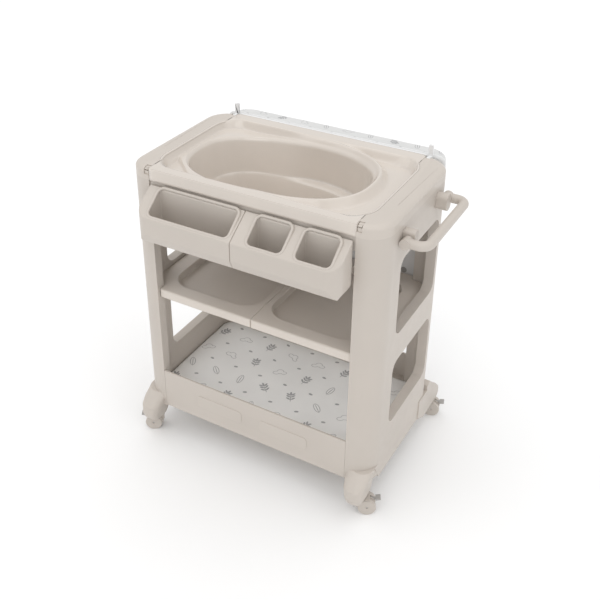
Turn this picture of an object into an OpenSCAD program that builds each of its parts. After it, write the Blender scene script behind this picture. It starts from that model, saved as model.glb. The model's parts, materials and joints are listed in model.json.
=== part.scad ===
// Bath and changing station on casters: a bath tub in a moulded frame, with bins, shelves,
// a towel rail and a padded changing top that hangs behind and slides over the tub.

/* [Frame] */
// Width across the two side panels
frame_w = 740; // [700:5:780]
// Depth of the side panels
frame_d = 435; // [420:5:450]
// Height of the rim above the floor
rim_h = 900; // [880:5:940]
// Plan radius of the outer corners
corner_r = 62; // [50:1:70]
// Thickness of a side panel
wall = 28; // [24:1:32]
// Half the distance between the two rim seams
seam_x = 297; // [290:1:300]
// Height of the front apron
apron_h = 34; // [30:1:38]

/* [Side windows] */
// Middle of the windows, measured back from the panel's middle
window_y = 22; // [15:1:25]
// Width of a window
window_w = 258; // [230:2:262]
// Lower edge of the upper window
upper_window_z = 537; // [530:1:545]
// Height of the upper window
upper_window_h = 230; // [200:2:234]
// Lower edge of the lower window
lower_window_z = 245; // [242:1:250]
// Height of the lower window
lower_window_h = 205; // [180:5:210]

/* [Tub] */
// Half length of the basin's mouth
basin_a = 258; // [230:2:260]
// Half width of the basin's mouth
basin_b = 167; // [150:1:168]
// Depth of the basin below the rim
basin_depth = 195; // [150:5:210]

/* [Bins and shelves] */
// How far the bins stand out from the apron
bin_out = 79; // [60:1:90]
// Height of the bins' underside
bin_bottom_z = 712; // [700:1:730]
// Height of the shelf's upper edge
shelf_top_z = 524; // [515:1:530]
// Height of the bottom tray's walls
tray_h = 128; // [110:1:130]

/* [Changing top] */
// Width of the pad
pad_w = 696; // [680:2:700]
// Length of the pad
pad_l = 450; // [440:2:460]
// Thickness of the pad
pad_t = 78; // [60:1:80]

/* [Towel rail] */
// Diameter of the rail
rail_d = 25; // [20:1:28]
// How far the rail stands out from the side panel
rail_out = 80; // [70:1:90]

/* [Casters] */
// Wheel diameter
wheel_d = 50; // [46:1:52]
// Distance from the swivel axis to the axle
trail = 20; // [18:1:22]

/* [Hidden] */

beige = [0.82, 0.78, 0.74];
light_beige = [0.86, 0.83, 0.80];
white = [0.94, 0.94, 0.94];
grey = [0.55, 0.55, 0.55];

$fn = 48;
eps = 0.5;                                    // gap between neighbouring mouldings
half_w = frame_w / 2;
half_d = frame_d / 2;
inner_x = half_w - wall;                      // inner face of a side panel
inner_y = half_d - wall;                      // inner face of a panel's return strips
panel_bottom_z = 110;                         // lower edge of a side panel between its feet
cap_z = rim_h - apron_h;                      // underside of the rim
rim_drop = 14;                                // height of the rim's rounded outer edge
rim_side_in = 28;                             // width of that rounding along the sides
rim_end_in = 10;                              // width of it at the front and the rear

// Middle of the object's box, measured from the middle of the frame: the towel rail stands
// out on the right and the changing top hangs behind. The origin lies there, on the floor.
mid_x = 25.2;
mid_y = 7.4;

hinge_y = half_d - 8;                         // hinge axis of the changing top
hinge_z = rim_h - 8;
board_y = half_d + 4.5;                       // face of the hanging board towards the frame
board_t = 7;
pin_r = 3;
running = 0.05;                               // radial clearance of a running fit

basin_x = -31;                                // middle of the basin
basin_y = -4;
drain_x = -140;                               // middle of the drain in the basin's floor
drain_y = basin_y;

rail_y = [-125.5, 146.5];                     // middle planes of the rail's two legs
boss_y = [[-112, -87], [102, 133]];
rail_z = 830;
pivot_x = half_w + 16;
pivot_r = 5;

stem_r = 5;
hood_z = 54;                                  // top of a caster's housing
foot_z = 58;                                  // underside of the feet
foot_x = 312;                                 // inner face of the feet
stem_front = [339, -200];
stem_rear = [345, 272];
wheel_w = 14;
axle_r = 3;
brake_pin_r = 1.5;
brake_x = trail + 14;
brake_z = wheel_d / 2 + 18;

// Each caster: position of its stem and the direction in which it trails.
casters = [
    [[-stem_front[0], stem_front[1]], 209],
    [stem_front, 27],
    [[-stem_rear[0], stem_rear[1]], 150],
    [stem_rear, 15]];

module at_home() translate([-mid_x, -mid_y, 0]) children();

// Mirrors its children to the left side when side is -1.
module on_side(side) mirror([side < 0 ? 1 : 0, 0, 0]) children();

// A flat rectangle with round corners, centred on the origin.
module rounded(w, h, r) {
    square([w, h - 2 * r], center = true);
    square([w - 2 * r, h], center = true);
    for (x = [-1, 1], y = [-1, 1]) translate([x * (w / 2 - r), y * (h / 2 - r)]) circle(r);
}

// A plate of the given thickness that stands in the YZ plane, from x0 outwards.
module plate_yz(x0, t) translate([x0, 0, 0]) rotate([90, 0, 90]) linear_extrude(t) children();

// ---------------------------------------------------------------- side panels

module panel_plan() {
    difference() {
        rounded(frame_w, frame_d, corner_r);
        translate([-frame_w, -frame_d]) square([frame_w + seam_x, 2 * frame_d]);
        rounded(2 * inner_x, 2 * inner_y, corner_r - wall);
    }
}

module window_cut(z, h)
    plate_yz(inner_x - 20, wall + 40) translate([window_y, z + h / 2]) rounded(window_w, h, 30);

// A thin level slice of a front foot, between x0 and x1 and between front and back.
module foot_slice(z, x0, x1, front, back, r)
    translate([(x0 + x1) / 2, (front + back) / 2, z])
        linear_extrude(1) rounded(x1 - x0, back - front, r);

// The feet carry the casters. The front one flares out below the panel and tapers to its tip.
module front_foot() hull() {
    foot_slice(foot_z, 320, 359, -246, -184, 16);
    foot_slice(70, 316, 363, -257, -180, 18);
    foot_slice(84, 313, 366, -half_d - 44, -176, 20);
    foot_slice(112, 308, 368, -half_d - 43, -168, 24);
    foot_slice(130, 304, 369, -half_d - 30, -162, 28);
    foot_slice(149, 300, half_w, -half_d - 1.5, -152, 34);
}

module rear_foot() {
    outline = [[130, 85], [178, foot_z], [286, foot_z], [297, 61], [301, 68], [301, 82], [296, 94],
               [284, 108], [262, 130], [228, 154], [half_d - 8, 175], [inner_y + 1, 168],
               [inner_y + 1, 150], [130, 150]];
    plate_yz(foot_x, half_w + 3 - foot_x) polygon(outline);
}

module side_panel(side) {
    color(beige) at_home() on_side(side) difference() {
        union() {
            translate([0, 0, panel_bottom_z]) linear_extrude(cap_z - panel_bottom_z) panel_plan();
            plate_yz(inner_x, wall) polygon([[-180, 150], [-150, 95], [118, 85], [185, 70], [185, 150]]);
            front_foot();
            rear_foot();
        }
        window_cut(upper_window_z, upper_window_h);
        window_cut(lower_window_z, lower_window_h);
        for (p = [stem_front, stem_rear])
            translate([p[0], p[1], hood_z]) cylinder(h = 42, r = stem_r);
        if (side > 0)
            for (b = boss_y)
                translate([inner_x - 1, (b[0] + b[1]) / 2, rail_z]) rotate([0, 90, 0])
                    cylinder(h = wall + 2, r = 2.5);
    }
}

// The moulded rim over a side panel, with a notch at each end for a catch or a hinge arm and a
// fine groove along its top.
module rim_cap(side) {
    color(light_beige) at_home() on_side(side) difference() {
        hull() for (s = [0 : 8]) {
            a = 90 * s / 8;
            side_in = rim_side_in * (1 - cos(a));
            end_in = rim_end_in * (1 - cos(a));
            translate([0, 0, cap_z]) linear_extrude(apron_h - rim_drop * (1 - sin(a)))
                intersection() {
                    rounded(frame_w - 2 * side_in, frame_d - 2 * end_in, corner_r - end_in);
                    translate([seam_x, -half_d]) square([half_w, frame_d]);
                }
        }
        translate([0, 0, cap_z - 1]) linear_extrude(apron_h + 2) recess_outline(eps);
        for (y = [-1, 1])
            translate([seam_x - 1, y * half_d - 17.5, rim_h - 20]) cube([15.5, 35, 30]);
        translate([seam_x, hinge_y, hinge_z]) rotate([0, 90, 0]) cylinder(h = 34.5, r = pin_r);
        translate([inner_x, -85, rim_h - 0.8]) rotate([0, 0, -1.6]) cube([0.8, 285, 10]);
    }
}

module hinge_pins() {
    color("silver") at_home() for (side = [-1, 1]) on_side(side)
        translate([seam_x + 1.5, hinge_y, hinge_z]) rotate([0, 90, 0]) cylinder(h = 33, r = pin_r);
}

// A sprung hook in each front notch, which holds the front edge of the closed changing top.
module catch_hooks() {
    color(light_beige) at_home() for (side = [-1, 1]) on_side(side)
        translate([seam_x + 2, -half_d, 0]) {
            translate([0, 3, rim_h - 20]) cube([12, 14, 10]);
            translate([0, 8, rim_h - 11]) cube([12, 9, 9]);
            translate([1, 2.5, rim_h - 7]) cube([10, 7, 3.5]);
        }
}

// A bar that joins the two panels under the rim; s is -1 at the front and 1 at the rear.
module crossbar(s) {
    color(beige) at_home() translate([0, s * (half_d - 15), cap_z - 21])
        cube([2 * seam_x, 22, 40], center = true);
}

// Two screws from inside the right panel into the towel rail's bosses.
module boss_screws() {
    color("silver") at_home() for (b = boss_y)
        translate([inner_x - 2.5, (b[0] + b[1]) / 2, rail_z]) rotate([0, 90, 0]) {
            cylinder(h = 2.5, r = 5);
            cylinder(h = wall + 7, r = 2.45);
        }
}

// ---------------------------------------------------------------- tub

// Outline of the sunk part of the tub's top, grown by g.
module recess_outline(g) translate([0, -4]) rounded(2 * (308 + g), 2 * (186 + g), 70 + g);

// One coordinate of a point on a superellipse: c is the cosine or the sine of its angle.
function squared_off(c) = sign(c) * pow(abs(c), 2 / 2.4);

// A thin oval slab of the basin, with half length a and half width b.
module basin_layer(z, a, b)
    translate([basin_x, basin_y, z]) linear_extrude(0.5)
        polygon([for (i = [0 : 7.5 : 352.5]) [a * squared_off(cos(i)), b * squared_off(sin(i))]]);

// The basin as a solid bowl from its mouth at height top down to depth, shrunk inwards by t.
module bowl(t, top, bottom) hull() for (s = [0 : 6]) {
    shrink = 1 - 0.24 * pow(s / 6, 2.6);
    basin_layer(top - (top - bottom) * sin(15 * s), basin_a * shrink - t, basin_b * shrink - t);
}

module bath_tub() {
    recess_z = rim_h - 18;
    color(light_beige) at_home() difference() {
        union() {
            difference() {
                translate([-seam_x + eps, -half_d, cap_z]) cube([2 * (seam_x - eps), frame_d, apron_h]);
                translate([0, 0, cap_z - 1]) linear_extrude(apron_h + 2) recess_outline(-6);
            }
            translate([0, 0, recess_z - 5]) linear_extrude(5) recess_outline(0);
            translate([0, 0, recess_z - 5]) linear_extrude(23) difference() {
                intersection() {
                    recess_outline(0);
                    square([2 * (seam_x - eps), frame_d], center = true);
                }
                recess_outline(-6);
            }
            bowl(-4, recess_z - 1, rim_h - basin_depth - 4);
        }
        bowl(0, recess_z + 1, rim_h - basin_depth);
        translate([drain_x, drain_y, rim_h - basin_depth - 20]) cylinder(h = 40, r = 20);
    }
}

module drain_spout() {
    color("gray") at_home() translate([drain_x, drain_y, rim_h - basin_depth]) difference() {
        union() {
            translate([0, 0, -4]) cylinder(h = 5, r = 19.5);
            translate([0, 0, -46]) cylinder(h = 44, r = 14);
        }
        translate([0, 0, -47]) cylinder(h = 50, r = 11);
    }
}

module drain_plug() {
    color("gray") at_home() translate([drain_x, drain_y, rim_h - basin_depth]) {
        translate([0, 0, -12]) cylinder(h = 14, r = 10.6);
        translate([0, 0, 1.2]) cylinder(h = 4, r = 17);
        translate([0, 0, 5]) cylinder(h = 10, r = 5);
    }
}

// ---------------------------------------------------------------- bins, shelves, bottom tray

bin_back = half_d + 1;
bin_rim_back_z = cap_z - 9;
bin_rim_front_z = bin_rim_back_z - 55;
bin_wall = 4;

// Side outline of a bin, shrunk inwards by t, with a sloping rim.
module bin_side(t) {
    polygon([[-bin_back - t, bin_bottom_z + t], [-bin_back - bin_out + 34 + t * 0.4, bin_bottom_z + t],
             [-bin_back - bin_out + 12 + t, bin_bottom_z + 14 + t * 0.4],
             [-bin_back - bin_out + t, bin_bottom_z + 40],
             [-bin_back - bin_out + t, bin_rim_front_z], [-bin_back - t, bin_rim_back_z]]);
}

// Plan of a pocket between x0 and x1, with round front corners.
module pocket_plan(x0, x1, t, r) {
    y0 = -bin_back - bin_out + t;
    y1 = -bin_back - t;
    translate([x0, y0 + r]) square([x1 - x0, y1 - y0 - r]);
    translate([x0 + r, y0]) square([x1 - x0 - 2 * r, r + 1]);
    for (x = [x0 + r, x1 - r]) translate([x, y0 + r]) circle(r);
}

module bin_body(x0, x1, r0, r1) intersection() {
    plate_yz(x0, x1 - x0) bin_side(0);
    translate([0, 0, bin_bottom_z - 1]) linear_extrude(200) {
        y0 = -bin_back - bin_out;
        translate([x0, y0 + 40]) square([x1 - x0, bin_out - 40]);
        translate([x0 + r0, y0]) square([x1 - x0 - r0 - r1, 41]);
        translate([x0 + r0, y0 + r0]) circle(r0);
        translate([x1 - r1, y0 + r1]) circle(r1);
        translate([x0, y0 + r0]) square([r0 + 1, 41 - r0]);
        translate([x1 - r1 - 1, y0 + r1]) square([r1 + 1, 41 - r1]);
    }
}

module bin_pocket(x0, x1) intersection() {
    plate_yz(x0, x1 - x0) union() {
        bin_side(bin_wall);
        polygon([[-bin_back - bin_wall, bin_rim_back_z - 6], [-bin_back - bin_out + 8, bin_rim_front_z - 2],
                 [-bin_back - bin_out + 8, bin_rim_back_z + 9], [-bin_back - bin_wall, bin_rim_back_z + 9]]);
    }
    translate([0, 0, bin_bottom_z]) linear_extrude(200) pocket_plan(x0, x1, 8, 16);
}

// Lugs behind a bin, by which it hangs on the front crossbar.
module bin_lugs(xs) for (x = xs)
    translate([x - 12, -bin_back - 1, cap_z - 38]) cube([24, 5.5, 22]);

module left_bin() {
    color(beige) at_home() {
        difference() {
            bin_body(-292, -eps / 2, 38, 3);
            bin_pocket(-256, -12);
        }
        bin_lugs([-240, -50]);
    }
}

module right_bin() {
    color(beige) at_home() {
        difference() {
            bin_body(eps / 2, 292, 3, 38);
            bin_pocket(39, 138);
            bin_pocket(171, 268);
        }
        bin_lugs([50, 240]);
    }
}

// Plan of what lies inside the two panels.
module inside_plan(gap) rounded(2 * (inner_x - gap), 2 * (inner_y - gap), corner_r - wall - gap);

// One half of the shelf: a tray with a sunk floor and a bullnose front.
module shelf(side) {
    half_x = 155;
    color(light_beige) at_home() on_side(side) difference() {
        union() {
            translate([0, 0, shelf_top_z - 12]) linear_extrude(12) intersection() {
                inside_plan(eps);
                translate([eps / 2, -half_d]) square([half_w, frame_d]);
            }
            for (s = [-1, 1]) {
                translate([eps / 2, s > 0 ? half_d - 60 : -half_d + 8, shelf_top_z - 12])
                    cube([seam_x - 1, 52, 12]);
                translate([eps / 2, s > 0 ? half_d - 18 : -half_d + 8, shelf_top_z - 28])
                    cube([seam_x - 1, 10, 18]);
            }
            translate([half_x, 0, shelf_top_z - 28]) linear_extrude(20) rounded(284, 340, 64);
        }
        translate([half_x, 0, shelf_top_z - 24]) linear_extrude(30) rounded(276, 332, 60);
    }
}

module shelf_pegs() {
    color("silver") at_home() for (side = [-1, 1], y = [-150, 150]) on_side(side)
        translate([inner_x - 12, y, shelf_top_z - 16]) rotate([0, 90, 0]) cylinder(h = 12, r = 4);
}

// The bottom tray: a floor between the panels, with an upright wall at the front and the rear.
// Two raised panels stiffen the front wall.
module bottom_tray() {
    t = 5;
    floor_up = 38;
    for (x = [-105, 105])
        color(beige) at_home() translate([x, -half_d + 0.1, panel_bottom_z + 3 + tray_h / 2])
            rotate([90, 0, 0]) linear_extrude(1.6) rounded(150, 40, 12);
    color(beige) at_home() translate([0, 0, panel_bottom_z + 3]) {
        translate([0, 0, floor_up]) linear_extrude(t) inside_plan(eps);
        for (s = [-1, 1]) {
            translate([0, s * (half_d - 22), floor_up + t / 2]) cube([2 * (seam_x - eps), 44, t], center = true);
            translate([0, s * (half_d - t / 2), tray_h / 2]) cube([2 * (seam_x - eps), t, tray_h], center = true);
        }
    }
}

module bottom_mat() {
    color(white) at_home() translate([0, 0, panel_bottom_z + 46]) linear_extrude(6) inside_plan(4);
}

// ---------------------------------------------------------------- towel rail

// A boss on the right panel with plan extent b along Y. The pivot's blind bore opens towards
// the rail's leg, at the boss's low end when open is -1 and at its high end when it is 1.
module rail_boss(b, open, r) {
    blind = 6;
    color(beige) at_home() difference() {
        plate_yz(half_w, 31) translate([(b[0] + b[1]) / 2, rail_z + 1]) rounded(b[1] - b[0], 46, r);
        translate([pivot_x, open < 0 ? b[0] - 1 : b[0] + blind, rail_z]) rotate([-90, 0, 0])
            cylinder(h = b[1] - b[0] + 1 - blind, r = pivot_r);
        translate([half_w - 1, (b[0] + b[1]) / 2, rail_z]) rotate([0, 90, 0]) cylinder(h = 7, r = 2.5);
    }
}

module rail_pivot_pins() {
    color("silver") at_home() {
        translate([pivot_x, rail_y[0] - 7.5, rail_z]) rotate([-90, 0, 0])
            cylinder(h = boss_y[0][1] - 6.5 - rail_y[0] + 7.5, r = pivot_r);
        translate([pivot_x, boss_y[1][0] + 6.5, rail_z]) rotate([-90, 0, 0])
            cylinder(h = rail_y[1] + 7.5 - boss_y[1][0] - 6.5, r = pivot_r);
    }
}

module rail_tube(from, length, dir)
    translate(from) rotate(dir) cylinder(h = length, r = rail_d / 2);

module towel_rail() {
    r = 24;
    bar_x = half_w + rail_out - rail_d / 2;
    eye_r = 13.5;
    color(light_beige) at_home() translate([0, 0, rail_z]) difference() {
        union() {
            rail_tube([bar_x, rail_y[0] + r, 0], rail_y[1] - rail_y[0] - 2 * r, [-90, 0, 0]);
            for (i = [0, 1]) {
                s = i == 0 ? 1 : -1;
                rail_tube([pivot_x, rail_y[i], 0], bar_x - r - pivot_x, [0, 90, 0]);
                translate([bar_x - r, rail_y[i] + s * r, 0]) rotate([0, 0, i == 0 ? -90 : 0])
                    rotate_extrude(angle = 90) translate([r, 0]) circle(rail_d / 2);
                translate([pivot_x, rail_y[i] - rail_d / 2, 0]) rotate([-90, 0, 0])
                    cylinder(h = rail_d, r = eye_r);
            }
        }
        for (i = [0, 1])
            translate([pivot_x, rail_y[i] - (i == 0 ? 8 : rail_d), 0]) rotate([-90, 0, 0])
                cylinder(h = rail_d + 8, r = pivot_r + running);
    }
}

// ---------------------------------------------------------------- changing top

// A hinge arm turns on its pin in the cap's rear notch and guides the board's edge.
module hinge_arm(side) {
    color(white) at_home() on_side(side) difference() {
        union() {
            translate([seam_x + 2, hinge_y, hinge_z]) rotate([0, 90, 0]) cylinder(h = 10, r = 6.5);
            translate([seam_x + 2, hinge_y, hinge_z - 6]) cube([10, board_y - hinge_y, 12]);
            translate([seam_x + 1.5, board_y - 1, hinge_z - 12]) cube([12, 7.5, 48]);
        }
        translate([seam_x, hinge_y, hinge_z]) rotate([0, 90, 0]) cylinder(h = 20, r = pin_r + running);
        translate([seam_x, board_y + 1.3, hinge_z - 20]) cube([7, 4, 70]);
    }
}

module changing_board() {
    length = 436;
    color(white) at_home() {
        translate([0, board_y + board_t, rim_h - 2 - length / 2]) rotate([90, 0, 0])
            linear_extrude(board_t) rounded(2 * (seam_x - 0.5), length, 4);
        for (side = [-1, 1]) on_side(side)
            translate([seam_x - 1, board_y + 1.8, rim_h - 2 - length]) cube([7, 3, length]);
    }
}

// Studs that button the pad's cover to the board.
module board_snaps() {
    color(grey) at_home() for (side = [-1, 1], z = [rim_h - 45, rim_h - 373])
        translate([side * 256, board_y, z]) rotate([90, 0, 0]) cylinder(h = 1.2, r = 9);
}

module changing_pad() {
    corner = 68;
    y0 = board_y + board_t;
    color(white) at_home() intersection() {
        translate([-pad_w / 2, y0, rim_h - pad_l]) cube([pad_w, pad_t, pad_l]);
        hull() for (side = [-1, 1]) on_side(side) translate([pad_w / 2 - corner, y0 + pad_t - corner, 0]) {
            translate([0, 0, rim_h - pad_l + 24]) cylinder(h = pad_l - 34, r = corner, $fn = 32);
            translate([0, 0, rim_h - pad_l]) cylinder(h = pad_l, r = corner - 14, $fn = 32);
        }
    }
}

// ---------------------------------------------------------------- casters

// Puts its children at caster n, with the swivel axis as Z and the trail along X.
module at_caster(n) at_home() translate([casters[n][0][0], casters[n][0][1], 0])
    rotate([0, 0, casters[n][1]]) children();

module caster_stems() {
    color("silver") for (n = [0 : 3]) at_caster(n) translate([0, 0, hood_z - 22]) cylinder(h = 62, r = stem_r);
}

module across(x, z, w, r) translate([x, w / 2, z]) rotate([90, 0, 0]) cylinder(h = w, r = r);

module caster_housing(n) {
    wheel_r = wheel_d / 2;
    color(light_beige) at_caster(n) difference() {
        union() {
            translate([0, 0, hood_z - 26]) cylinder(h = 25.5, r = 11);
            difference() {
                across(trail, wheel_r, 40, wheel_r + 4);
                across(trail, wheel_r, 42, wheel_r + 1.5);
                translate([-40, -30, -10]) cube([120, 60, 10 + wheel_r + 3]);
                translate([trail + 8, -30, 0]) cube([60, 60, 80]);
            }
            difference() {
                across(trail, wheel_r, 12, wheel_r + 3);
                translate([trail + 20, -30, 0]) cube([60, 60, 80]);
                translate([-40, -30, -10]) cube([120, 60, 10 + wheel_r - 8]);
            }
        }
        translate([-40, -30, hood_z - 0.5]) cube([120, 60, 20]);
        for (s = [-1, 1]) translate([0, 14 * s, 0]) across(trail, wheel_r, 15.6, wheel_r + 1.4);
        translate([0, 0, -1]) cylinder(h = 80, r = stem_r + running);
        across(trail, wheel_r, 60, axle_r + running);
        translate([brake_x - 6, -3.6, brake_z - 7]) cube([40, 7.2, 40]);
        across(brake_x, brake_z, 60, brake_pin_r + running);
    }
}

module caster_wheels(n) {
    color(light_beige) at_caster(n) for (s = [-1, 1])
        translate([trail, s * 6.5 + wheel_w / 2 * (s - 1), 0]) difference() {
            translate([0, wheel_w, wheel_d / 2]) rotate([90, 0, 0]) cylinder(h = wheel_w, r = wheel_d / 2);
            translate([0, 40, wheel_d / 2]) rotate([90, 0, 0]) cylinder(h = 80, r = axle_r);
        }
}

module caster_axle(n) {
    color("silver") at_caster(n) across(trail, wheel_d / 2, 36, axle_r);
}

// Brake pedal in the housing's clevis, pressed down onto the wheels by foot.
module caster_brake(n) {
    width = 6.8;
    color(grey) at_caster(n) translate([brake_x, 0, brake_z]) {
        across(0, 0, 11.6, brake_pin_r);
        across(0, 0, width, 4);
        rotate([0, -10, 0]) translate([0, -width / 2, -2]) cube([14, width, 4.5]);
        rotate([0, -10, 0]) translate([10, -9, -1]) cube([14, 18, 4.5]);
    }
}

side_panel(-1);  // left_side_panel
side_panel(1);  // right_side_panel
rim_cap(-1);  // left_rim_cap
rim_cap(1);  // right_rim_cap
crossbar(-1);  // front_crossbar
crossbar(1);  // rear_crossbar
boss_screws();
catch_hooks();
hinge_pins();
shelf(-1);  // left_shelf
shelf(1);  // right_shelf
shelf_pegs();
bottom_tray();
bottom_mat();
rail_boss(boss_y[0], -1, 8);  // rail_front_boss
rail_boss(boss_y[1], 1, 14);  // rail_rear_boss
rail_pivot_pins();
towel_rail();
bath_tub();
drain_spout();
drain_plug();
left_bin();
right_bin();
hinge_arm(-1);  // left_hinge_arm
hinge_arm(1);  // right_hinge_arm
changing_board();
board_snaps();
changing_pad();
caster_stems();
caster_housing(0);  // front_left_caster
caster_wheels(0);  // front_left_wheels
caster_axle(0);  // front_left_axle
caster_brake(0);  // front_left_brake
caster_housing(1);  // front_right_caster
caster_wheels(1);  // front_right_wheels
caster_axle(1);  // front_right_axle
caster_brake(1);  // front_right_brake
caster_housing(2);  // rear_left_caster
caster_wheels(2);  // rear_left_wheels
caster_axle(2);  // rear_left_axle
caster_brake(2);  // rear_left_brake
caster_housing(3);  // rear_right_caster
caster_wheels(3);  // rear_right_wheels
caster_axle(3);  // rear_right_axle
caster_brake(3);  // rear_right_brake
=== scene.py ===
import json
import math

import bmesh
import bpy
from mathutils import Matrix, Vector, noise
from mathutils.bvhtree import BVHTree


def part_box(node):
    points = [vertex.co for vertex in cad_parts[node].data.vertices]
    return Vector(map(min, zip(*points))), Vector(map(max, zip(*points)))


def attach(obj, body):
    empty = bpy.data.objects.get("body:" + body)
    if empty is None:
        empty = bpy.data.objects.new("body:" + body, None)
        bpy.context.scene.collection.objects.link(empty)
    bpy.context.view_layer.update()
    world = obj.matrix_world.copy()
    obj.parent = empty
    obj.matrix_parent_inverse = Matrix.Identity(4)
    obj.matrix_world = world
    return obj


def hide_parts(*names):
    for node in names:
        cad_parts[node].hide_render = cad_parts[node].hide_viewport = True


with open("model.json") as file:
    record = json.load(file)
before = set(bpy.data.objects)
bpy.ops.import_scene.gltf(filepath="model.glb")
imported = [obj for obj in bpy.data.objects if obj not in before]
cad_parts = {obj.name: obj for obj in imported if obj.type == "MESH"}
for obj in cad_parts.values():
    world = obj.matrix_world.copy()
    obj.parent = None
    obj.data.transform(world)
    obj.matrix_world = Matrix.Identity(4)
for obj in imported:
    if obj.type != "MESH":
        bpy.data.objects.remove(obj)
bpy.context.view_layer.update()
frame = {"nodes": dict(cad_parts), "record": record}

record = frame["record"]
BODY = {node: body for body, nodes in record["behaviour"]["bodies"].items() for node in nodes}
SLOT = {row["node"]: row["material_slot"] for row in record["subparts"]}
CASTERS = ("front_left", "front_right", "rear_left", "rear_right")

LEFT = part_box("left_side_panel")[0]
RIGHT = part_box("right_side_panel")[1]
CAP_LOW, CAP_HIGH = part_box("right_rim_cap")
HOME = Vector(((LEFT.x + RIGHT.x) / 2, (CAP_LOW.y + CAP_HIGH.y) / 2, 0.0))
RIM = CAP_HIGH.z
HALF_DEPTH = (CAP_HIGH.y - CAP_LOW.y) / 2


def clamp(x, low, high):
    return max(low, min(high, x))


def smooth(low, high, x):
    """0 below low, 1 above high, and a soft step between them."""
    t = clamp((x - low) / (high - low), 0.0, 1.0)
    return t * t * (3 - 2 * t)


def hump(x, middle, spread):
    """A bell of height 1 round the middle."""
    return math.exp(-(((x - middle) / spread) ** 2))


# ---------------------------------------------------------------- materials

class Shader:
    """A material with short calls for the nodes that it is made of."""

    def __init__(self, name):
        self.material = bpy.data.materials.new(name)
        self.material.use_nodes = True
        self.nodes = self.material.node_tree.nodes
        self.links = self.material.node_tree.links
        self.bsdf = self.nodes["Principled BSDF"]

    def node(self, kind, settings=(), **inputs):
        """A new node. An input is given by its name, or by its number after an underscore."""
        made = self.nodes.new(kind)
        for key, value in dict(settings).items():
            setattr(made, key, value)
        for key, value in inputs.items():
            self.put(value, made.inputs[int(key[1:]) if key[0] == "_" else key])
        return made

    def put(self, value, socket):
        if isinstance(value, bpy.types.NodeSocket):
            self.links.new(value, socket)
        else:
            socket.default_value = value

    def set(self, **inputs):
        """Sets inputs of the Principled shader. An underscore stands for the space in a name."""
        for key, value in inputs.items():
            self.put(value, self.bsdf.inputs[key.replace("_", " ")])

    def math(self, operation, a, b=0.0):
        return self.node("ShaderNodeMath", {"operation": operation}, _0=a, _1=b).outputs[0]

    def place(self):
        return self.node("ShaderNodeTexCoord").outputs["Object"]

    def noise(self, scale, detail=3.0, where=None):
        where = where or self.place()
        made = self.node("ShaderNodeTexNoise", Vector=where, Scale=scale, Detail=detail)
        return made.outputs[0]

    def spread(self, value, low, high, to_low, to_high):
        """The value carried over from one range to another, and kept within it."""
        made = self.node("ShaderNodeMapRange", _0=value, _1=low, _2=high, _3=to_low, _4=to_high)
        return made.outputs[0]

    def mix(self, factor, a, b):
        made = self.node("ShaderNodeMix", {"data_type": "RGBA"}, _0=factor, _6=a, _7=b)
        return made.outputs[2]

    def bump(self, height, strength, distance, under=None):
        made = self.node("ShaderNodeBump", Strength=strength, Distance=distance, Height=height)
        if under:
            self.put(under, made.inputs["Normal"])
        return made.outputs[0]


def tone(colour, factor):
    return tuple(clamp(c * factor, 0.0, 1.0) for c in colour) + (1.0,)


def plastic(name, colour, roughness, grain=0.05, coat=0.0):
    """Moulded plastic: slight colour drift, fine surface grain, a painted highlight on sharp outer edges
    and painted shade in creases.
    """
    s = Shader(name)
    drift = s.mix(s.spread(s.noise(7.0), 0.3, 0.7, 0.0, 1.0), tone(colour, 0.985), tone(colour, 1.015))
    point = s.node("ShaderNodeNewGeometry").outputs["Pointiness"]
    # Painted highlight: sharp outer edges are made lighter.
    painted_edge_highlight = s.mix(s.spread(point, 0.52, 0.60, 0.0, 0.5), drift, tone(colour, 1.06))
    # Painted shade: creases and inner corners are made darker.
    painted_crease_shade = s.mix(s.spread(point, 0.40, 0.48, 0.45, 0.0), painted_edge_highlight, tone(colour, 0.86))
    s.set(Base_Color=painted_crease_shade)
    smear = s.noise(38.0, 5.0)
    s.set(Roughness=s.spread(smear, 0.25, 0.75, roughness - 0.05, roughness + 0.06))
    ripple = s.bump(s.noise(16.0, 1.0), 0.10, 0.0012)
    s.set(Normal=s.bump(s.noise(1500.0, 2.0), grain, 0.0003, ripple))
    s.bsdf.inputs["Coat Weight"].default_value = coat
    s.bsdf.inputs["Coat Roughness"].default_value = 0.12
    s.bsdf.inputs["IOR"].default_value = 1.46
    return s.material


def steel(name, colour, roughness):
    """Zinc-plated steel with fine turning marks and a mottled plating."""
    s = Shader(name)
    mottled = s.spread(s.noise(420.0, 4.0), 0.3, 0.7, 0.0, 1.0)
    s.set(Base_Color=s.mix(mottled, tone(colour, 0.88), tone(colour, 1.05)))
    s.set(Roughness=s.spread(s.noise(900.0, 2.0), 0.3, 0.7, roughness - 0.06, roughness + 0.08))
    marks = s.node("ShaderNodeTexWave", Vector=s.place(), Scale=1400.0, Distortion=1.5).outputs[1]
    s.set(Normal=s.bump(marks, 0.08, 0.0002))
    s.bsdf.inputs["Metallic"].default_value = 1.0
    return s.material


def turned(s, where, angle):
    made = s.node("ShaderNodeVectorRotate", {"rotation_type": "Z_AXIS"}, Vector=where, Angle=angle)
    return made.outputs[0]


def oval(s, where, middle, size, angle=0.0):
    """1 inside an oval of the given half sizes, 0 outside it, with a soft edge."""
    made = s.node("ShaderNodeMapping", {"vector_type": "TEXTURE"}, Vector=where)
    made.inputs["Location"].default_value = (*middle, 0.0)
    made.inputs["Rotation"].default_value = (0.0, 0.0, math.radians(angle))
    made.inputs["Scale"].default_value = (*size, 1.0)
    length = s.node("ShaderNodeVectorMath", {"operation": "LENGTH"}, _0=made.outputs[0])
    return s.spread(length.outputs["Value"], 0.92, 1.08, 1.0, 0.0)


def joined(s, masks):
    """The area that any of the masks covers."""
    total = masks[0]
    for mask in masks[1:]:
        total = s.math("MAXIMUM", total, mask)
    return total


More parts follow.
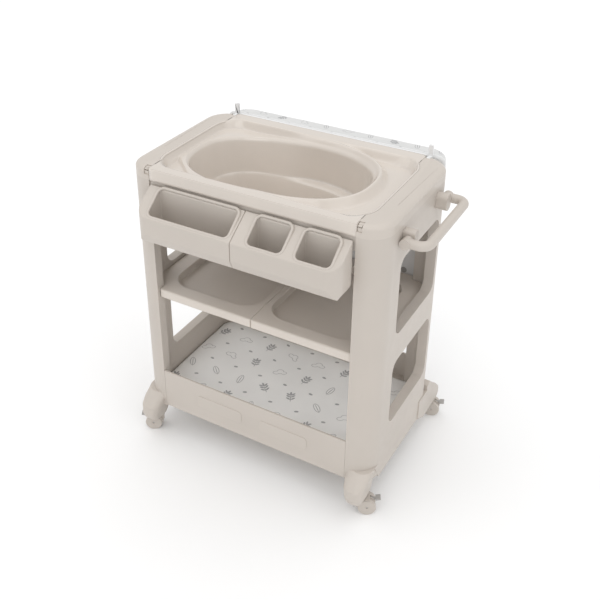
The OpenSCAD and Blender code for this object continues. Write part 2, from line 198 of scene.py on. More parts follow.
def outlined(s, where, ovals, line):
    """The outline of several joined ovals."""
    outer = joined(s, [oval(s, where, m, r) for m, r in ovals])
    inner = joined(s, [oval(s, where, m, tuple(x - line for x in r)) for m, r in ovals])
    return s.math("SUBTRACT", outer, inner)


def cells(s, where, size, shift):
    """Splits the plane into square cells. Gives the place within a cell and three random numbers for it."""
    moved = s.node("ShaderNodeVectorMath", {"operation": "MULTIPLY_ADD"}, _0=where)
    moved.inputs[1].default_value = (1 / size, 1 / size, 0.0)
    moved.inputs[2].default_value = (*shift, 0.0)
    cell = s.node("ShaderNodeVectorMath", {"operation": "FLOOR"}, _0=moved.outputs[0]).outputs[0]
    part = s.node("ShaderNodeVectorMath", {"operation": "FRACTION"}, _0=moved.outputs[0]).outputs[0]
    local = s.node("ShaderNodeVectorMath", {"operation": "SUBTRACT"}, _0=part)
    local.inputs[1].default_value = (0.5, 0.5, 0.0)
    chance = s.node("ShaderNodeTexWhiteNoise", {"noise_dimensions": "3D"}, Vector=cell).outputs["Color"]
    split = s.node("ShaderNodeSeparateColor", Color=chance)
    return local.outputs[0], split.outputs


PRINT_LINE = 0.022                                # line width of the outlined motifs, in cells
SPRIG_SHARE, LEAF_SHARE = 0.40, 0.26              # shares of the cells, of which the others hold clouds
CLOUD_STRENGTH = 0.75


def sprig(s, where):
    """A stem with three pairs of leaves and one at the tip."""
    leaves = [oval(s, where, (0.0, 0.0), (0.014, 0.20)), oval(s, where, (0.0, 0.23), (0.035, 0.085))]
    for up in (-0.08, 0.04, 0.14):
        for side in (-1, 1):
            leaves.append(oval(s, where, (side * 0.08, up + 0.05), (0.085, 0.034), side * 38))
    return joined(s, leaves)


def cloud(s, where):
    """The outline of three puffs."""
    left = ((-0.12, -0.03), (0.12, 0.09))         # middle and half sizes
    top = ((0.02, 0.04), (0.13, 0.12))
    right = ((0.15, -0.03), (0.11, 0.08))
    return outlined(s, where, [left, top, right], PRINT_LINE)


def leaf(s, where):
    """The outline of a leaf, with its rib."""
    blade = outlined(s, where, [((0.0, 0.0), (0.10, 0.22))], PRINT_LINE)
    rib = oval(s, where, (0.0, -0.03), (0.012, 0.22))
    return joined(s, [blade, rib])


def printed_marks(s, where, cell):
    """A print of sprigs, clouds and leaves, with a small lozenge between them. Gives a 0 to 1 mask."""
    local, chance = cells(s, where, cell, (0.35, 0.2))
    leaning = turned(s, local, s.spread(chance[0], 0.0, 1.0, -0.9, 0.9))
    first = s.math("LESS_THAN", chance[1], SPRIG_SHARE)
    last = s.math("GREATER_THAN", chance[1], 1 - LEAF_SHARE)
    middle = s.math("SUBTRACT", s.math("SUBTRACT", 1.0, first), last)
    motif = s.math("MULTIPLY", sprig(s, leaning), first)
    puffs = s.math("MULTIPLY", s.math("MULTIPLY", cloud(s, leaning), middle), CLOUD_STRENGTH)
    motif = s.math("ADD", motif, puffs)
    motif = s.math("ADD", motif, s.math("MULTIPLY", leaf(s, leaning), last))
    between, other = cells(s, where, cell, (0.85, 0.7))
    tilted = turned(s, between, s.spread(other[0], 0.0, 1.0, -0.5, 0.5))
    lozenge = oval(s, tilted, (0.0, 0.0), (0.075, 0.042))
    return s.math("MAXIMUM", motif, lozenge)


DARK_INK = (0.16, 0.16, 0.17, 1.0)
PALE_INK = (0.34, 0.34, 0.35, 1.0)
THREADS = 420.0                                   # scale of the weave


def coated_fabric(name, cell, print_strength, pale):
    """White coated fabric with a small grey print, a fine weave and soft creases.
    cell is the size of the print's cells, and pale the white's brightness."""
    s = Shader(name)
    where = s.node("ShaderNodeUVMap", {"uv_map": "print"}).outputs[0]
    marks = s.math("MULTIPLY", printed_marks(s, where, cell), print_strength)
    white = (pale, pale, pale * 0.99)
    ground = s.mix(s.spread(s.noise(9.0, 4.0), 0.3, 0.7, 0.0, 1.0), tone(white, 0.97), tone(white, 1.03))
    ink = s.mix(s.noise(260.0, 3.0), DARK_INK, PALE_INK)
    s.set(Base_Color=s.mix(marks, ground, ink))
    s.set(Roughness=s.spread(s.noise(60.0, 4.0), 0.3, 0.7, 0.40, 0.52))
    threads, across = (
        s.node("ShaderNodeTexWave", {"bands_direction": way}, Vector=where, Scale=THREADS).outputs[1]
        for way in ("X", "Y"))
    weave = s.bump(s.math("MULTIPLY", threads, across), 0.12, 0.0003)
    s.set(Normal=s.bump(s.noise(34.0, 4.0), 0.18, 0.0016, weave))
    s.bsdf.inputs["Sheen Weight"].default_value = 0.15
    s.bsdf.inputs["Coat Weight"].default_value = 0.12
    return s.material


WARM = (0.560, 0.510, 0.460)
MATERIALS = {
    "frame_plastic": plastic("beige_frame", WARM, 0.42),
    "rim_plastic": plastic("beige_rim", tone(WARM, 1.05)[:3], 0.36, 0.03),
    # The tub's beige is painted lighter than the frame's, to offset the shade inside the basin.
    "tub_plastic": plastic("beige_tub_painted_lighter", tone(WARM, 1.19)[:3], 0.18, 0.01, 0.6),
    "steel": steel("plated_steel", (0.62, 0.61, 0.60), 0.34),
    "caster_plastic": plastic("beige_nylon", tone(WARM, 0.97)[:3], 0.38, 0.04),
    "axle_steel": steel("axle_steel", (0.55, 0.54, 0.53), 0.30),
    "grey_plastic": plastic("grey_nylon", (0.40, 0.385, 0.37), 0.45, 0.06),
    "white_plastic": plastic("white_board", (0.80, 0.80, 0.80), 0.40, 0.05),
    "printed_cover": coated_fabric("printed_cover", 0.070, 0.85, 0.68),
}
# The tray's mat: the pad's coated fabric with its white painted lighter, to offset the shade in the tray.
MAT_COVER_PAINTED_LIGHTER = coated_fabric("printed_mat_painted_lighter", 0.088, 0.80, 0.90)
# The shelves' beige is painted lighter than the frame's, to offset the shade under the bins and inside the
# frame.
SHELF_PLASTIC_PAINTED_LIGHTER = plastic("beige_shelf_painted_lighter", tone(WARM, 1.18)[:3], 0.36)


# ---------------------------------------------------------------- helpers for pieces

def linked(name, data):
    """A new object of the data, in the scene."""
    made = bpy.data.objects.new(name, data)
    bpy.context.scene.collection.objects.link(made)
    return made


def mesh_of(name, work):
    """The mesh of a finished bmesh."""
    mesh = bpy.data.meshes.new(name)
    work.to_mesh(mesh)
    work.free()
    return mesh


def settle(piece, node, material=None):
    """Gives a piece its material, by default that of a CAD node's slot, and puts it in the node's body."""
    piece.data.materials.clear()
    piece.data.materials.append(material or MATERIALS[SLOT[node]])
    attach(piece, BODY[node])


def add(name, mesh, node, material=None):
    """Makes a piece of a mesh that stands for a CAD node."""
    piece = linked(name, mesh)
    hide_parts(node)
    settle(piece, node, material)
    return piece


def shade_smooth(mesh):
    mesh.polygons.foreach_set("use_smooth", [True] * len(mesh.polygons))


def applied(piece):
    """The piece's mesh with its modifiers applied."""
    graph = bpy.context.evaluated_depsgraph_get()
    return bpy.data.meshes.new_from_object(piece.evaluated_get(graph))


def apply_all(piece):
    mesh = applied(piece)
    piece.modifiers.clear()
    piece.data = mesh


def remeshed(name, mesh, size):
    """A copy of a mesh as even quads of about the given size."""
    source = linked(name, mesh)
    even = source.modifiers.new("even", "REMESH")
    even.mode = "VOXEL"
    even.voxel_size = size
    result = applied(source)
    bpy.data.objects.remove(source)
    return result


MERGE = 0.00002                                   # how far apart points may be to become one
FLAT = math.radians(0.6)                          # faces that differ less than this become one
SHARP = math.radians(32.0)                        # edges sharper than this are rounded
NARROW = 0.35                                     # width of the edges that aren't broad


def moulded(node, width, material=None, broad=None, segments=2):
    """A copy of a CAD node with rounded edges and even shading, which stands for the node.
    With broad given, edges for which it is true get the full width, and the others a narrow one."""
    mesh = frame["nodes"][node].data.copy()
    work = bmesh.new()
    work.from_mesh(mesh)
    bmesh.ops.remove_doubles(work, verts=work.verts, dist=MERGE)
    bmesh.ops.dissolve_limit(work, angle_limit=FLAT, verts=work.verts, edges=work.edges)
    work.edges.index_update()
    weights = [0.0] * len(work.edges)
    for edge in work.edges:
        if len(edge.link_faces) == 2 and edge.calc_face_angle(0.0) > SHARP:
            middle = (edge.verts[0].co + edge.verts[1].co) / 2
            weights[edge.index] = 1.0 if broad is None or broad(middle) else NARROW
    work.to_mesh(mesh)
    work.free()
    layer = mesh.attributes.new("bevel_weight_edge", "FLOAT", "EDGE")
    layer.data.foreach_set("value", weights)
    shade_smooth(mesh)
    piece = add(node + "_moulding", mesh, node, material)
    edges = piece.modifiers.new("edges", "BEVEL")
    edges.width = width
    edges.segments = segments
    edges.limit_method = "WEIGHT"
    edges.harden_normals = True
    edges.use_clamp_overlap = True
    even = piece.modifiers.new("normals", "WEIGHTED_NORMAL")
    even.weight = 90
    even.keep_sharp = True


def bead(name, places, radius, resolution):
    """A round bead along a closed line of places."""
    curve = bpy.data.curves.new(name, "CURVE")
    curve.dimensions = "3D"
    curve.bevel_depth = radius
    curve.bevel_resolution = resolution
    spline = curve.splines.new("POLY")
    spline.points.add(len(places) - 1)
    for point, place in zip(spline.points, places):
        point.co = (*place, 1.0)
    spline.use_cyclic_u = True
    spline.use_smooth = True
    return linked(name, curve)


# ---------------------------------------------------------------- bins

BINS = {"left_bin": -1, "right_bin": 1}           # the side on which each bin's outer end is
BIN_POCKETS = (                                   # each pocket's bin, left end and right end
    ("left_bin", -0.2575, -0.0105),
    ("right_bin", 0.0375, 0.1395),
    ("right_bin", 0.1695, 0.2695),
)
BIN_GRID = 0.0019                                 # mesh size of the remeshed bins
BIN_ROUND = 0.030                                 # height of the round lower edge of the outer end
BIN_INSET = 0.9 * BIN_ROUND                       # how far that edge is cut back at the bottom
LIP_RADIUS = 0.0042
LIP_CORNER = 0.017                                # corner radius of a pocket's lip, seen from above
LIP_UNDER_RIM = 0.0428                            # how far the lip's rear edge lies under the rim
LIP_FALL = 0.053                                  # fall of the lip from its rear edge to its front edge
LIP_SETBACK = 0.0075                              # from the bin's front to the lip's front edge
LIP_GAP = 0.005                                   # from the frame's front to the lip's rear edge


def rounded_bin(node, side):
    """A bin with all its edges rounded, and the lower edge of its outer end broadly so."""
    low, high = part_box(node)
    mesh = remeshed(node + "_start", frame["nodes"][node].data.copy(), BIN_GRID)
    for vertex in mesh.vertices:
        p = vertex.co
        down = clamp((low.z + BIN_ROUND - p.z) / BIN_ROUND, 0.0, 1.0)
        inset = BIN_INSET * (1 - math.sqrt(1 - down * down))
        if side > 0:
            p.x = min(p.x, high.x - inset)
        else:
            p.x = max(p.x, low.x + inset)
    shade_smooth(mesh)
    piece = add(node + "_moulding", mesh, node)
    soft = piece.modifiers.new("soft", "SMOOTH")
    soft.factor = 0.5
    soft.iterations = 9
    fewer = piece.modifiers.new("fewer", "DECIMATE")
    fewer.ratio = 0.35
    apply_all(piece)
    shade_smooth(piece.data)


def bin_lip(node, left, right):
    """The round lip of a bin's pocket, whose ends are at two places across the frame."""
    back = HOME.y - HALF_DEPTH - LIP_GAP
    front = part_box(node)[0].y + LIP_SETBACK
    slope = Vector((0.0, front - back, -LIP_FALL))
    start = Vector((0.0, back, RIM - LIP_UNDER_RIM))
    left_end, right_end = HOME.x + left + LIP_CORNER, HOME.x + right - LIP_CORNER
    near, far = LIP_CORNER, slope.length - LIP_CORNER
    corners = ((right_end, near, -90), (right_end, far, 0), (left_end, far, 90), (left_end, near, 180))
    steps = 8
    places = []
    for x, down, first in corners:
        for k in range(steps + 1):
            turn = math.radians(first + 90 * k / steps)
            place = start + slope.normalized() * (down + LIP_CORNER * math.sin(turn))
            places.append((x + LIP_CORNER * math.cos(turn), place.y, place.z))
    settle(bead(node + "_lip", places, LIP_RADIUS, 4), node)


# ---------------------------------------------------------------- bath tub

TUB_LOW, TUB_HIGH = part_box("bath_tub")
SPOUT_LOW, SPOUT_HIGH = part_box("drain_spout")
DRAIN = (SPOUT_LOW + SPOUT_HIGH) / 2
BASIN = HOME + Vector((-0.031, -0.004, 0.0))      # middle of the basin
BASIN_FLOOR = SPOUT_HIGH.z - 0.001
SHELL = 0.0038                                    # thickness of the tub's walls
SEAM = CAP_LOW.x - HOME.x - 0.0005                # half width of the front and rear flange
FLANGE_EDGE = 0.0015                              # height of the flanges' bevelled edge
FLANGE_OUT = 0.0006                               # how far the flanges' faces stand out

# The sunk top, measured from HOME.
RECESS_HALF = Vector(((TUB_HIGH.x - TUB_LOW.x) / 2, 0.186))
RECESS_MIDDLE = -0.004
RECESS_CORNER = 0.070
RECESS_DEPTH = 0.018
CREST_HEIGHT = 0.0165                             # the rolled crest round the mouth's foot end
CREST_AT, CREST_SPREAD = 0.013, 0.0105            # its distance from the mouth, and its breadth
TROUGH_DEPTH = 0.0050                             # the trough outside the crest
TROUGH_FROM, TROUGH_TO = 0.024, 0.038             # distances from the mouth over which it deepens
RECESS_SIDE, CREST_SIDE = 0.012, 0.006            # width of the sunk top's side, and what the crest adds
SUNK_SHELF_DEPTH = 0.0060                         # the shallow shelf behind the head end
SUNK_SHELF_X, SUNK_SHELF_SPREAD = -0.200, 0.090
DISH_DEPTH = 0.009                                # the three-cornered soap dish at the front left
DISH_LEFT, DISH_FRONT, DISH_REAR = -0.298, -0.180, -0.072
DISH_SLANT = (-0.205, -0.165)                     # a place on its slanting side

# The basin, from the mouth down. Its plan is squarer with a higher power.
MOUTH_HALF, MOUTH_POWER = (0.259, 0.168), 2.5     # half length and half width
FLOOR_HALF, FLOOR_POWER = (0.200, 0.126), 2.4
HEAD_LONGER, HEAD_SQUARER = 0.010, 0.5            # what the floor's head end has more of
FLOOR_FLAT = 0.92                                 # share of the floor inside its round edge
FLOOR_FALL = 0.002                                # rise of the floor away from the drain
ROUND_FOOT = 0.017                                # height of the floor's round edge
LEDGE_HEIGHT = RIM - 0.122
LEDGE_WIDTH = 0.024
MOUTH_ROLL = 0.006                                # how far the wall leans out at the mouth


def recess_distance(x, y):
    """How far a place is inside the outline of the sunk top. Negative outside it."""
    dx = abs(x) - (RECESS_HALF.x - RECESS_CORNER)
    dy = abs(y - RECESS_MIDDLE) - (RECESS_HALF.y - RECESS_CORNER)
    outside = math.hypot(max(dx, 0.0), max(dy, 0.0))
    return RECESS_CORNER - outside - min(max(dx, dy), 0.0)


def oval_reach(angle, half_x, half_y, power):
    """Distance from the middle of a superellipse to its outline. A higher power makes it squarer."""
    c, s = abs(math.cos(angle)), abs(math.sin(angle))
    return ((c / half_x) ** power + (s / half_y) ** power) ** (-1 / power)


def head_end(angle):
    """1 at the basin's head end on the left, 0 at its foot end on the right."""
    return smooth(-0.2, 0.9, -math.cos(angle))


def foot_end(angle):
    """0 at the head end, 1 at the foot end, where a thick crest runs round the mouth."""
    return smooth(-0.45, 0.30, math.cos(angle))


def mouth_reach(angle):
    return oval_reach(angle, *MOUTH_HALF, MOUTH_POWER)


def floor_reach(angle):
    head = head_end(angle)
    half_x, half_y = FLOOR_HALF
    return oval_reach(angle, half_x + HEAD_LONGER * head, half_y, FLOOR_POWER + HEAD_SQUARER * head)


def outer_reach(angle):
    """The tub's outline: the flanges' rectangle, or the sunk top where that reaches further."""
    c, s = math.cos(angle), math.sin(angle)
    middle = BASIN - HOME
    nearly_along, far = 1e-6, 9.0
    to_x = ((SEAM if c > 0 else -SEAM) - middle.x) / c if abs(c) > nearly_along else far
    to_y = ((HALF_DEPTH if s > 0 else -HALF_DEPTH) - middle.y) / s if abs(s) > nearly_along else far
    reach = min(to_x, to_y)
    step = 0.0005
    while recess_distance(middle.x + (reach + step) * c, middle.y + (reach + step) * s) > 0:
        reach += step
    return reach


def soap_dish(x, y):
    """0 outside the soap dish, 1 on its floor."""
    steep, gentle = 0.008, 0.010                  # widths of its sides
    rear = smooth(0.0, gentle, DISH_REAR - y)
    left = smooth(0.0, steep, x - DISH_LEFT)
    front = smooth(0.0, steep, y - DISH_FRONT)
    slant = smooth(0.0, gentle, (DISH_SLANT[0] - x) + 1.10 * (DISH_SLANT[1] - y))
    return rear * left * front * slant


def tub_top(x, y, from_mouth, angle):
    """Height of the tub's upper side at a place measured from HOME, outside the basin's mouth."""
    foot = foot_end(angle)
    rear = smooth(0.10, 0.65, math.sin(angle))
    crest = CREST_HEIGHT * foot * hump(from_mouth, CREST_AT, CREST_SPREAD)
    trough = TROUGH_DEPTH * foot * smooth(TROUGH_FROM, TROUGH_TO, from_mouth)
    sunk_shelf = SUNK_SHELF_DEPTH * rear * hump(x, SUNK_SHELF_X, SUNK_SHELF_SPREAD)
    height = RIM - RECESS_DEPTH + crest - trough - sunk_shelf - DISH_DEPTH * soap_dish(x, y)
    side = 1 - smooth(-0.001, RECESS_SIDE + CREST_SIDE * foot, recess_distance(x, y))
    return height + (RIM - height) * side


def wall_place(inner, mouth, edge, t, ledge):
    """Radius and height on the basin's wall, from the floor at t = 0 to the mouth's edge at t = 1.
    A moulded ledge runs round the wall, with its full width where ledge is 1 and none where it is 0."""
    foot, step = 0.26, 0.52                       # shares of the way at the foot's top and the ledge's top
    low = BASIN_FLOOR + FLOOR_FALL + ROUND_FOOT
    if t < foot:
        turn = math.pi / 2 * t / foot
        radius = inner * (FLOOR_FLAT + (1 - FLOOR_FLAT) * math.sin(turn))
        return radius, low - ROUND_FOOT * math.cos(turn)
    steep = mouth - MOUTH_ROLL
    share = 0.42 - 0.10 * ledge                   # of the way outwards, at the ledge
    at_ledge = inner + (steep - inner) * share
    if t < step:
        rise = (t - foot) / (step - foot)
        radius = inner + (at_ledge - inner) * rise + smooth(0.72, 1.0, rise) * LEDGE_WIDTH * ledge
        return radius, low + (LEDGE_HEIGHT - low) * (1 - (1 - rise) ** 1.6)
    rise = (t - step) / (1 - step)
    start = at_ledge + LEDGE_WIDTH * ledge
    radius = start + (steep - start) * rise + MOUTH_ROLL * smooth(0.86, 1.0, rise) ** 1.8
    return radius, LEDGE_HEIGHT + (edge - LEDGE_HEIGHT) * (1 - (1 - rise) ** 1.15)


def tub_place(kind, t, angle, inner, mouth, outer):
    """Radius and height of one point of the tub's upper side. t goes from 0 to 1 through each kind."""
    middle = BASIN - HOME
    c, s = math.cos(angle), math.sin(angle)
    if kind == "floor":
        return inner * FLOOR_FLAT * t, BASIN_FLOOR + FLOOR_FALL * t ** 4
    if kind == "wall":
        edge = tub_top(middle.x + mouth * c, middle.y + mouth * s, 0.0, angle)
        return wall_place(inner, mouth, edge, t, smooth(0.5, -0.3, -math.cos(angle)))
    if kind == "top":
        r = mouth + (outer - mouth) * t ** 1.15
        return r, tub_top(middle.x + r * c, middle.y + r * s, r - mouth, angle)
    top = RIM - FLANGE_EDGE
    return outer + FLANGE_OUT * t, top - t * (top - CAP_LOW.z)


def tub_mesh():
    """The tub's upper side in rings round the basin's middle, out to the flanges and down their faces."""
    turns = 240
    kinds = (("floor", 8), ("wall", 44), ("top", 50), ("skirt", 6))      # with their numbers of rings
    rings = [(kind, k / count) for kind, count in kinds for k in range(1, count + 1)]
    angles = [2 * math.pi * k / turns for k in range(turns)]
    reach = [(floor_reach(a), mouth_reach(a), outer_reach(a)) for a in angles]
    work = bmesh.new()
    middle = work.verts.new((BASIN.x, BASIN.y, BASIN_FLOOR))
    previous = None
    for kind, t in rings:
        ring = []
        for a, reaches in zip(angles, reach):
            r, z = tub_place(kind, t, a, *reaches)
            ring.append(work.verts.new((BASIN.x + r * math.cos(a), BASIN.y + r * math.sin(a), z)))
        for k in range(turns):
            a, b = ring[k], ring[(k + 1) % turns]
            if previous:
                work.faces.new((previous[k], a, b, previous[(k + 1) % turns]))
            else:
                work.faces.new((middle, a, b))
        previous = ring
    bmesh.ops.recalc_face_normals(work, faces=work.faces)
    if sum(face.normal.z for face in work.faces) < 0:
        bmesh.ops.reverse_faces(work, faces=work.faces)
    return mesh_of("bath_tub_shell", work)


TUB_LIP_PROFILE = (                               # outwards from the sunk top's outline, and up
    (-0.0030, -0.0024), (-0.0008, 0.0002), (0.0012, 0.0009), (0.0034, 0.0008), (0.0050, 0.0001),
    (0.0034, -0.00002), (0.0008, -0.0004), (-0.0022, -0.0034),
)
TUB_LIP_TURN = math.radians(70)                   # how far the lip goes round the sunk top's corners
TUB_LIP_STRAIGHT = 0.62                           # share of its length between the corners


def tub_lip():
    """The thin edge of the tub's shell that lies over the rim caps at both ends of the sunk top."""
    work = bmesh.new()
    end = RECESS_HALF.x - RECESS_CORNER
    start = SEAM - 0.0004                         # just inside the rim caps
    steps = 96
    for side in (-1, 1):
        rings = []
        for k in range(steps + 1):
            along = -1 + 2 * k / steps
            bend = clamp((abs(along) - TUB_LIP_STRAIGHT) / (1 - TUB_LIP_STRAIGHT), 0.0, 1.0)
            turn = TUB_LIP_TURN * bend * math.copysign(1, along)
            straight = (RECESS_HALF.y - RECESS_CORNER) * clamp(along / TUB_LIP_STRAIGHT, -1.0, 1.0)
            ring = []
            for out, up in TUB_LIP_PROFILE:
                r = RECESS_CORNER + out
                x = side * max(end + r * math.cos(turn), start)
                y = RECESS_MIDDLE + straight + r * math.sin(turn)
                ring.append(work.verts.new((HOME.x + x, HOME.y + y, RIM + up)))
            rings.append(ring)
        for first, second in zip(rings, rings[1:]):
            for k in range(len(ring)):
                after = (k + 1) % len(ring)
                work.faces.new((first[k], second[k], second[after], first[after]))
        work.faces.new(rings[0])
        work.faces.new(list(reversed(rings[-1])))
    bmesh.ops.remove_doubles(work, verts=work.verts, dist=MERGE / 2)
    bmesh.ops.recalc_face_normals(work, faces=work.faces)
    mesh = mesh_of("bath_tub_lip", work)
    shade_smooth(mesh)
    settle(linked("bath_tub_lip", mesh), "bath_tub")


def bath_tub():
    """The tub's shell with its drain hole."""
    piece = add("bath_tub_shell", tub_mesh(), "bath_tub")
    shell = piece.modifiers.new("thickness", "SOLIDIFY")
    shell.thickness = SHELL
    shell.offset = -1.0
    shell.use_even_offset = False
    work = bmesh.new()
    radius = (SPOUT_HIGH.x - SPOUT_LOW.x) / 2 + 0.0004
    bmesh.ops.create_cone(work, cap_ends=True, segments=48, radius1=radius, radius2=radius, depth=0.04,
                          matrix=Matrix.Translation((DRAIN.x, DRAIN.y, BASIN_FLOOR)))
    hole = linked("drain_hole", mesh_of("drain_hole", work))
    cut = piece.modifiers.new("drain", "BOOLEAN")
    cut.operation = "DIFFERENCE"
    cut.solver = "EXACT"
    cut.object = hole
    apply_all(piece)
    bpy.data.objects.remove(hole)
    shade_smooth(piece.data)
    even = piece.modifiers.new("normals", "WEIGHTED_NORMAL")
    even.weight = 60


# ---------------------------------------------------------------- soft pieces

def print_layer(mesh, low, high):
    """Lays the print's coordinates over a box-like cushion: across its wide face and on over its edges."""
    layer = mesh.uv_layers.new(name="print")
    for polygon in mesh.polygons:
        n = polygon.normal
        for loop in polygon.loop_indices:
            p = mesh.vertices[mesh.loops[loop].vertex_index].co
            back = high.y - p.y
            u, v = p.x, p.z
            if abs(n.z) > max(abs(n.x), abs(n.y)):
                v = high.z + back if n.z > 0 else low.z - back
            elif abs(n.x) > abs(n.y):
                u = high.x + back if n.x > 0 else low.x - back
            layer.data[loop].uv = (u, v)


def flat_print_layer(mesh):
    """Lays the print's coordinates over a flat sheet, from above."""
    layer = mesh.uv_layers.new(name="print")
    for loop in mesh.loops:
        p = mesh.vertices[loop.vertex_index].co
        layer.data[loop.index].uv = (p.x, p.y)


def inflated(name, mesh, pinned, pressure, most, frames=20):
    """The mesh after a cloth simulation under inner pressure, with no point moved further than most."""
    cover = linked(name, mesh)
    group = cover.vertex_groups.new(name="held")
    group.add(pinned, 1.0, "REPLACE")
    cloth = cover.modifiers.new("cover", "CLOTH")
    settings = cloth.settings
    settings.quality = 4
    settings.mass = 0.3
    settings.tension_stiffness = 22
    settings.compression_stiffness = 22
    settings.shear_stiffness = 6
    settings.bending_stiffness = 0.8
    settings.use_pressure = True
    settings.uniform_pressure_force = pressure
    settings.vertex_group_mass = "held"
    settings.effector_weights.gravity = 0
    cloth.collision_settings.use_collision = False
    cloth.point_cache.frame_start = 1
    cloth.point_cache.frame_end = frames
    for step in range(1, frames + 1):
        bpy.context.scene.frame_set(step)
    swollen = applied(cover)
    for before, after in zip(mesh.vertices, swollen.vertices):
        move = after.co - before.co
        if move.length > most:
            after.co = before.co + move * (most / move.length)
    bpy.data.objects.remove(cover)
    bpy.context.scene.frame_set(1)
    return swollen


PAD_LOW, PAD_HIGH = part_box("changing_pad")
PAD_MIDDLE = (PAD_LOW + PAD_HIGH) / 2
PAD_GRID = 0.006                                  # mesh size of the pad
PAD_SHRINK = 0.004                                # how much smaller it starts, on every side
PAD_PRESSURE = 4.0
PAD_SWELL = 0.0045                                # the most that the cover moves under pressure
PAD_GAP = 0.0006                                  # between the pad and the board
PUCKER = 0.0009                                   # depth of the cover's small puckers
WELT_OFF_BOARD = 0.010
WELT_RADIUS = 0.0016


def changing_pad():
    """The foam pad in its coated cover: swollen by a cloth simulation, flat where it lies on the board."""
    mesh = frame["nodes"]["changing_pad"].data.copy()
    for vertex in mesh.vertices:
        for axis in range(3):
            half = (PAD_HIGH[axis] - PAD_LOW[axis]) / 2
            from_middle = vertex.co[axis] - PAD_MIDDLE[axis]
            vertex.co[axis] = PAD_MIDDLE[axis] + from_middle * (half - PAD_SHRINK) / half
    mesh = remeshed("pad_start", mesh, PAD_GRID)
    back = PAD_LOW.y + PAD_SHRINK
    on_board = [v.index for v in mesh.vertices if v.co.y < back + PAD_GRID]
    mesh = inflated("pad_cover_sim", mesh, on_board, PAD_PRESSURE, PAD_SWELL)
    for vertex in mesh.vertices:
        p = vertex.co
        rest = smooth(back + 0.010, back + 0.001, p.y)
        pucker = noise.noise(Vector((p.x * 26, p.y * 30, p.z * 26))) * PUCKER
        vertex.co = p + (p - PAD_MIDDLE).normalized() * pucker * (1 - rest)
        vertex.co.y = max(PAD_LOW.y + PAD_GAP, vertex.co.y - rest * (PAD_SHRINK - PAD_GAP))
    print_layer(mesh, PAD_LOW, PAD_HIGH)
    shade_smooth(mesh)
    piece = add("changing_pad_cover", mesh, "changing_pad")
    even = piece.modifiers.new("even", "SMOOTH")
    even.factor = 0.5
    even.iterations = 6
    finer = piece.modifiers.new("finer", "SUBSURF")
    finer.levels = finer.render_levels = 1
    return piece


def pad_welt(pad):
    """The welt along which the pad's cover is sealed to its backing, near the board."""
    tree = BVHTree.FromObject(pad, bpy.context.evaluated_depsgraph_get())
    middle = Vector((PAD_MIDDLE.x, PAD_LOW.y + WELT_OFF_BOARD, PAD_MIDDLE.z))
    half = (PAD_HIGH - PAD_LOW) / 2
    beyond, squareness = 1.3, 0.35                # the rays start on a squarish oval round the pad
    sunk = 0.0004
    places = []
    turns = 220
    for k in range(turns):
        a = 2 * math.pi * k / turns
        c, s = (math.copysign(abs(way) ** squareness, way) for way in (math.cos(a), math.sin(a)))
        start = middle + Vector((beyond * half.x * c, 0.0, beyond * half.z * s))
        inward = (middle - start).normalized()
        hit = tree.ray_cast(start, inward)[0]
        if hit:
            places.append(hit + inward * sunk)
    welt = bead("changing_pad_welt", places, WELT_RADIUS, 3)
    settle(welt, "changing_pad", MATERIALS["white_plastic"])


MAT_CORNER = 0.030
MAT_THICKNESS = 0.0014
MAT_LIE = 0.0034                                  # mean height of its upper side over the tray's floor
MAT_DIP = 0.0014                                  # how far it may be below that


def tray_mat():
    """The printed mat in the bottom tray: a thin sheet with round corners, slightly wavy."""
    low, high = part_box("bottom_mat")
    width, depth = high.x - low.x, high.y - low.y
    columns, rows = 170, 94
    middle = (low + high) / 2
    work = bmesh.new()
    grid = []
    for j in range(rows + 1):
        line = []
        for i in range(columns + 1):
            x = (i / columns - 0.5) * width
            y = (j / rows - 0.5) * depth
            dx, dy = abs(x) - (width / 2 - MAT_CORNER), abs(y) - (depth / 2 - MAT_CORNER)
            if dx > 0 and dy > 0:
                square = max(dx, dy) / math.hypot(dx, dy)
                x = math.copysign(width / 2 - MAT_CORNER + dx * square, x)
                y = math.copysign(depth / 2 - MAT_CORNER + dy * square, y)
            edge = 1 - smooth(0.0, 0.035, min(width / 2 - abs(x), depth / 2 - abs(y)))
            wave = noise.noise(Vector((x * 7.0, y * 9.0, 3.1))) * 0.0022
            ripple = noise.noise(Vector((x * 30.0, y * 11.0, 8.4))) * 0.0006
            lift = 0.0016 * edge * (0.5 + noise.noise(Vector((x * 16.0, y * 16.0, 5.0))))
            z = low.z + MAT_LIE + max(wave + ripple + lift, -MAT_DIP)
            line.append(work.verts.new((middle.x + x, middle.y + y, z)))
        grid.append(line)
    for j in range(rows):
        for i in range(columns):
            work.faces.new((grid[j][i], grid[j][i + 1], grid[j + 1][i + 1], grid[j + 1][i]))
    mesh = mesh_of("tray_mat", work)
    flat_print_layer(mesh)
    shade_smooth(mesh)
    piece = add("bottom_mat_sheet", mesh, "bottom_mat", MAT_COVER_PAINTED_LIGHTER)
    thick = piece.modifiers.new("thickness", "SOLIDIFY")
    thick.thickness = MAT_THICKNESS
    thick.offset = -1.0


# ---------------------------------------------------------------- stage, lights, camera

SUNS = (                                          # name, azimuth, elevation, strength, spread
    ("key", 8, 48, 0.42, 35),
    ("right_side", 75, 40, 0.30, 45),
    ("left_side", -60, 55, 0.35, 50),
    ("overhead", 160, 78, 0.42, 60),
)
SKY_STRENGTH = 0.74
STAGE_HALF = 30.0
LENS, SENSOR = 51.70, 36.0                        # in millimetres
LENS_SHIFT = (0.035, -0.13)
CAMERA_PLACE = Vector((1.002, -1.788, 1.852))     # from HOME
CAMERA_AZIMUTH, CAMERA_ELEVATION = 30.05, 28.93


def away(azimuth, elevation):
    """The direction from the object at an azimuth, 0 in front and 90 on its right, and an elevation."""
    turn, up = math.radians(azimuth), math.radians(elevation)
    return Vector((math.sin(turn) * math.cos(up), -math.cos(turn) * math.cos(up), math.sin(up)))


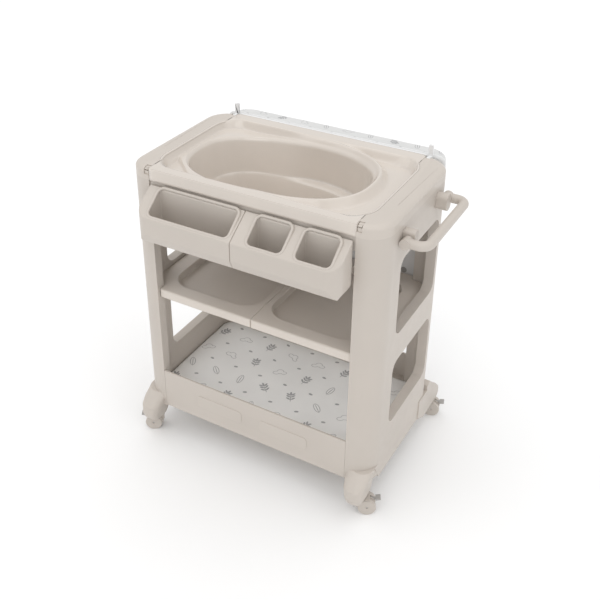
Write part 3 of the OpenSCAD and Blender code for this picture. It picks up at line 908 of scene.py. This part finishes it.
def soft_sun(name, azimuth, elevation, strength, spread):
    data = bpy.data.lights.new(name, "SUN")
    data.energy = strength
    data.angle = math.radians(spread)
    lamp = linked(name, data)
    lamp.rotation_euler = away(azimuth, elevation).to_track_quat("Z", "Y").to_euler()


def floor():
    work = bmesh.new()
    bmesh.ops.create_grid(work, x_segments=1, y_segments=1, size=STAGE_HALF)
    plane = linked("floor", mesh_of("floor", work))
    s = Shader("pale_floor")
    s.bsdf.inputs["Base Color"].default_value = (0.97, 0.97, 0.97, 1.0)
    s.bsdf.inputs["Roughness"].default_value = 0.85
    s.bsdf.inputs["Specular IOR Level"].default_value = 0.1
    plane.data.materials.append(s.material)


def studio():
    world = bpy.data.worlds.new("studio")
    bpy.context.scene.world = world
    world.use_nodes = True
    sky = world.node_tree.nodes["Background"]
    sky.inputs["Color"].default_value = (1.0, 1.0, 1.0, 1.0)
    sky.inputs["Strength"].default_value = SKY_STRENGTH
    for sun in SUNS:
        soft_sun(*sun)
    bpy.context.scene.view_settings.view_transform = "Standard"


def camera():
    data = bpy.data.cameras.new("camera")
    data.lens = LENS
    data.sensor_width = SENSOR
    data.shift_x, data.shift_y = LENS_SHIFT
    cam = linked("camera", data)
    cam.location = HOME + CAMERA_PLACE
    cam.rotation_euler = away(CAMERA_AZIMUTH, CAMERA_ELEVATION).to_track_quat("Z", "Y").to_euler()
    bpy.context.scene.camera = cam


# ---------------------------------------------------------------- the object

EDGES = {                                         # bevel width of each moulded node's edges
    "left_side_panel": 0.0030, "right_side_panel": 0.0030, "left_rim_cap": 0.0030, "right_rim_cap": 0.0030,
    "front_crossbar": 0.0020, "rear_crossbar": 0.0020, "catch_hooks": 0.0008,
    "left_shelf": 0.0050, "right_shelf": 0.0050, "bottom_tray": 0.0012,
    "rail_front_boss": 0.0030, "rail_rear_boss": 0.0030, "towel_rail": 0.0015,
    "drain_spout": 0.0008, "drain_plug": 0.0010,
    "left_hinge_arm": 0.0010, "right_hinge_arm": 0.0010, "changing_board": 0.0015, "board_snaps": 0.0004,
}
for corner in CASTERS:
    EDGES[corner + "_caster"] = 0.0007
    EDGES[corner + "_wheels"] = 0.0022
    EDGES[corner + "_brake"] = 0.0008

SHELVES = ("left_shelf", "right_shelf")
SHELF_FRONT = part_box("right_shelf")[0].y


def shelf_nose(place):
    """True on the front faces of the shelves, whose edges are the broadest."""
    return place.y < SHELF_FRONT + 0.001


for node, width in EDGES.items():
    if node in SHELVES:
        moulded(node, width, SHELF_PLASTIC_PAINTED_LIGHTER, shelf_nose, 3)
    else:
        moulded(node, width)
for node, side in BINS.items():
    rounded_bin(node, side)
for node, piece in frame["nodes"].items():
    if node not in EDGES and node not in BINS:
        piece.data.materials.clear()
        piece.data.materials.append(MATERIALS[SLOT[node]])

camera()
studio()
floor()
bath_tub()
tub_lip()
for pocket in BIN_POCKETS:
    bin_lip(*pocket)
pad_welt(changing_pad())
tray_mat()
